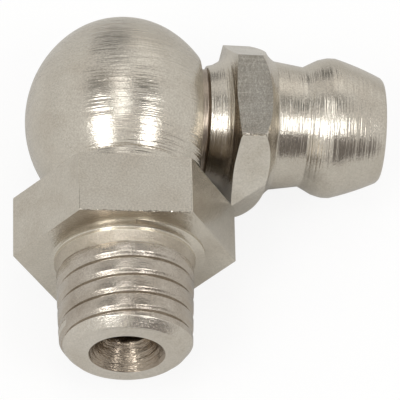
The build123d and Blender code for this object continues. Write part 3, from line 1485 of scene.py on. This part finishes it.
@dataclass
class Studio:
    """Pale floor, soft boxes, sky and camera.

    The camera's distance and clipping, the lamps' distance and the floor's size are in metres.
    """

    target: Vector = fixed(3.323, 2.382, 1.789)
    back: Vector = fixed(-0.12157, -0.49656, 0.85945)
    right: Vector = fixed(0.99152, -0.02075, 0.12827)
    up: Vector = fixed(-0.04586, 0.86775, 0.49487)
    distance: float = 0.2154
    lens: float = 419.47
    clip: tuple[float, float] = (0.01, 10.0)
    lamp_distance: float = 0.30
    floor_size: float = 3.0

    # How far the camera sees the paper as pure white, and the glow that the plate mirrors: its
    # strength, and along X where it starts and where it is whole.
    paper_colour: str = "d6d5d3"
    paper_white: float = 0.85
    table_glow: float = 0.17
    glow_edge: tuple[float, float] = (5.0, -3.0)

    # The dark gap in the sky lies in front, low down and to the right. For each part of a
    # direction: where the gap starts and where it is whole.
    sky: float = 0.77
    dark: float = 0.20
    gap: tuple[tuple[str, float, float], ...] = (("Y", -0.40, -0.65), ("Z", 0.76, 0.70), ("X", -0.06, 0.08))
    sky_tint: Corner = (1.0, 0.985, 0.95, 1.0)
    dark_tint: Corner = (1.0, 0.91, 0.86, 1.0)
    patches: tuple[SkyPatch, ...] = (
        SkyPatch(-8, 104, 18, 12, 0.32),
        SkyPatch(-26, 47, 16, 10, 0.38),
        SkyPatch(25, 44, 17, 10, 0.32),
        SkyPatch(20, 82, 20, 8, 1.40),
        SkyPatch(0, 60, 15, 8, 0.87),
    )
    lamps: tuple[Lamp, ...] = (
        Lamp("left_soft_box", -24, 1.5, 16, 25, 6.0),
        Lamp("right_soft_box", 32.5, 1.5, 12, 25, 5.2),
        Lamp("middle_soft_box", -1, 34, 14, 32, 1.5),
    )

    def build(self) -> None:
        """Set the whole studio up."""
        self._camera()
        self._floor()
        self._sky()
        for lamp in self.lamps:
            self._lamp(lamp)
        bpy.context.scene.view_settings.view_transform = "Standard"

    def _camera(self) -> None:
        """Long lens, looking down on the fitting from in front of its shank."""
        data = bpy.data.cameras.new("camera")
        data.lens = self.lens
        data.clip_start, data.clip_end = self.clip
        camera = bpy.data.objects.new("camera", data)
        bpy.context.scene.collection.objects.link(camera)
        turn_to = Matrix((self.right, self.up, self.back)).transposed().to_4x4()
        camera.matrix_world = Matrix.Translation(self.target * MM + self.back * self.distance) @ turn_to
        bpy.context.scene.camera = camera

    def _floor(self) -> None:
        """Pale sheet that the fitting lies on."""
        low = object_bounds()[0].z
        bpy.ops.mesh.primitive_plane_add(size=self.floor_size, location=(0, 0, low))
        floor = bpy.context.object
        floor.name = "floor"
        floor.data.materials.append(self._paper())
        floor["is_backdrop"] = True

    def _paper(self) -> Material:
        """Pale paper, almost white to the camera. The plate mirrors it grey, with a glow on the left.

        Returns:
            The material.
        """
        material = bpy.data.materials.new("pale_paper_sheet")
        material.use_nodes = True
        tree = material.node_tree
        tree.nodes.clear()
        seen = add_node(tree, "LightPath").outputs
        tones = {"Factor": seen["Is Camera Ray"], "A": linear(self.paper_colour), "B": WHITE}
        tone = add_node(tree, "Mix", tones, data_type="RGBA").outputs["Result"]
        paper = add_node(tree, "BsdfDiffuse", {"Color": tone}).outputs[0]
        white = add_node(tree, "Emission", {"Color": WHITE, "Strength": 1.0}).outputs[0]
        place = add_node(tree, "TexCoord").outputs["Object"]
        across = add_node(tree, "SeparateXYZ", {0: place}).outputs["X"]
        start, whole = self.glow_edge
        edge = {"Value": across, "From Min": start * MM, "From Max": whole * MM, "To Max": self.table_glow}
        glow = add_node(tree, "MapRange", edge, interpolation_type="SMOOTHSTEP").outputs["Result"]
        lit = add_node(tree, "Math", {0: seen["Is Glossy Ray"], 1: glow}, operation="MULTIPLY").outputs[0]
        direct = {0: seen["Is Camera Ray"], 1: self.paper_white, 2: lit}
        share = add_node(tree, "Math", direct, operation="MULTIPLY_ADD").outputs[0]
        mixed = add_node(tree, "MixShader", {0: share, 1: paper, 2: white})
        add_node(tree, "OutputMaterial", {"Surface": mixed.outputs[0]})
        return material

    def _sky(self) -> None:
        """Even grey dome with dimmer parts and a dark gap low in front; the camera sees it white."""
        world = bpy.data.worlds.new("studio")
        world.use_nodes = True
        tree = world.node_tree
        tree.nodes.clear()
        ray = add_node(tree, "TexCoord").outputs["Generated"]
        way = add_node(tree, "SeparateXYZ", {0: ray}).outputs
        gap = 1.0
        for name, start, whole in self.gap:
            edge = {"Value": way[name], "From Min": start, "From Max": whole}
            inside = add_node(tree, "MapRange", edge, interpolation_type="SMOOTHSTEP").outputs["Result"]
            gap = add_node(tree, "Math", {0: gap, 1: inside}, operation="MULTIPLY").outputs[0]
        level = add_node(tree, "MapRange", {"Value": gap, "To Min": self.sky, "To Max": self.dark}).outputs[0]
        for part in self.patches:
            middle = self._way(part.right, part.up)
            toward = add_node(tree, "VectorMath", {0: ray, 1: middle}, operation="DOT_PRODUCT")
            start, whole = math.cos(math.radians(part.outer)), math.cos(math.radians(part.inner))
            edge = {"Value": toward.outputs["Value"], "From Min": start, "From Max": whole}
            change = {"To Min": 1.0, "To Max": part.share}
            ramp = add_node(tree, "MapRange", {**edge, **change}, interpolation_type="SMOOTHSTEP")
            dimmer = ramp.outputs["Result"]
            level = add_node(tree, "Math", {0: level, 1: dimmer}, operation="MULTIPLY").outputs[0]
        tints = {"Factor": gap, "A": self.sky_tint, "B": self.dark_tint}
        tint = add_node(tree, "Mix", tints, data_type="RGBA").outputs["Result"]
        dome = add_node(tree, "Background", {"Color": tint, "Strength": level}).outputs[0]
        white = add_node(tree, "Background", {"Color": WHITE, "Strength": 1.0}).outputs[0]
        seen = add_node(tree, "LightPath").outputs["Is Camera Ray"]
        mixed = add_node(tree, "MixShader", {0: seen, 1: dome, 2: white})
        add_node(tree, "OutputWorld", {"Surface": mixed.outputs[0]})
        bpy.context.scene.world = world

    def _way(self, right: float, up: float) -> Vector:
        """Direction seen from the fitting.

        Args:
            right: how far it lies to the right of the camera.
            up: how far it lies above the camera.

        Returns:
            The unit vector.
        """
        right, up = math.radians(right), math.radians(up)
        level = self.back * math.cos(up) + self.up * math.sin(up)
        return self.right * math.sin(right) + level * math.cos(right)

    def _lamp(self, lamp: Lamp) -> None:
        """Hang one soft box, facing the fitting.

        Args:
            lamp: its place, size and brightness.
        """
        way = self._way(lamp.right, lamp.up)
        data = bpy.data.lights.new(lamp.name, "AREA")
        data.shape = "RECTANGLE"
        data.size = 2 * self.lamp_distance * math.tan(math.radians(lamp.width / 2))
        data.size_y = 2 * self.lamp_distance * math.tan(math.radians(lamp.height / 2))
        data.energy = lamp.brightness * math.pi * data.size * data.size_y
        light = bpy.data.objects.new(lamp.name, data)
        bpy.context.scene.collection.objects.link(light)
        side = self.up.cross(way).normalized()
        turn_to = Matrix((side, way.cross(side), way)).transposed().to_4x4()
        light.matrix_world = Matrix.Translation(self.target * MM + way * self.lamp_distance) @ turn_to
        light.visible_camera = False


def main() -> None:
    """Build each sub-assembly in order and report its pieces."""
    logging.basicConfig(level=logging.INFO, format="%(name)s: %(message)s")
    bpy.ops.object.select_all(action="DESELECT")
    for part in (ElbowBody(), Nozzle(), Valve()):
        piece = part.build()
        log.info("%s: %d faces", piece.name, len(piece.data.polygons))
    Studio().build()


if __name__ == "__main__":
    main()
